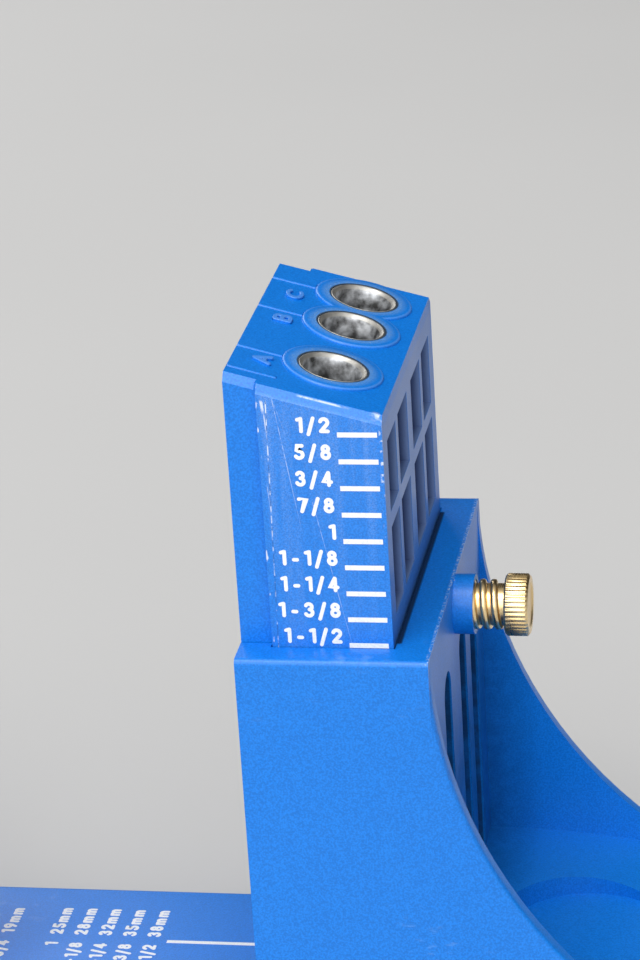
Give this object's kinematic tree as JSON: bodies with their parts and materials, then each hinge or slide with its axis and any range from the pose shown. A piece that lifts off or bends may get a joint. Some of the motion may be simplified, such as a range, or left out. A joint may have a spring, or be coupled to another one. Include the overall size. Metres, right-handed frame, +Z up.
{
  "type": "pocket hole jig",
  "caption": "Bench jig with a tower that holds a sliding angled drill guide, a brass lock screw and a toggle clamp that presses a board against the guide.",
  "frame": {"origin": "on the bench face, under the middle of the face that the work leans on", "axes": "+X towards the drill side, +Y across the jig, +Z up"},
  "size_m": [0.2996, 0.079, 0.1621],
  "materials": {
    "blue_plastic": "satin moulded plastic with light scuffs",
    "bush_steel": "ground and turned, worn bright in the bore",
    "brass": "turned and knurled, bright",
    "zinc_steel": "zinc-plated pressed steel",
    "dark_steel": "plain oiled steel",
    "black_plastic": "fine-grained soft plastic",
    "black_rubber": "matte rubber"
  },
  "bodies": {
    "base": {"jig_base": "blue_plastic", "bracket_near": "zinc_steel", "bracket_far": "zinc_steel", "rod_guide": "dark_steel", "guide_rivets": "dark_steel", "bracket_washers": "zinc_steel", "bracket_bolts": "zinc_steel", "bracket_nuts": "zinc_steel", "handle_pivot": "dark_steel", "stop_rivet": "dark_steel"},
    "guide": {"drill_guide": "blue_plastic", "drill_bush_a": "bush_steel", "drill_bush_b": "bush_steel", "drill_bush_c": "bush_steel"},
    "lock": {"lock_screw": "brass"},
    "handle": {"handle_lever": "zinc_steel", "handle_grip": "black_plastic", "crank_pin": "dark_steel"},
    "link": {"link_near": "zinc_steel", "link_far": "zinc_steel", "link_pin": "dark_steel"},
    "rod": {"push_rod": "zinc_steel", "lock_nut": "zinc_steel"},
    "pad": {"pad_spindle": "zinc_steel", "clamp_pad": "black_rubber"}
  },
  "joints": [
    {"name": "guide_slide", "type": "slide", "parent": "base", "child": "guide", "axis": [0, 0, 1], "range_m": [-0.04216, 0.043]},
    {"name": "lock_screw_turn", "type": "hinge", "parent": "base", "child": "lock", "pos_m": [0.0364, 0, 0.102], "axis": [1, 0, 0], "range_deg": [0, 540]},
    {"name": "handle_swing", "type": "hinge", "parent": "base", "child": "handle", "pos_m": [-0.1498, 0, 0.056], "axis": [0, -1, 0], "range_deg": [0, 95]},
    {"name": "link_swing", "type": "hinge", "parent": "handle", "child": "link", "pos_m": [-0.15111, 0, 0.04106], "axis": [0, -1, 0], "range_deg": [-132, 0]},
    {"name": "rod_slide", "type": "slide", "parent": "base", "child": "rod", "axis": [1, 0, 0], "range_m": [0, 0.0214]},
    {"name": "pad_adjust", "type": "slide", "parent": "rod", "child": "pad", "axis": [1, 0, 0], "range_m": [0, 0.0305]}
  ],
  "couplings": [
    {"joint": "link_swing", "follows": "handle_swing", "ratio": -1.3864},
    {"joint": "rod_slide", "follows": "handle_swing", "m_per_rad": 0.012825}
  ]
}
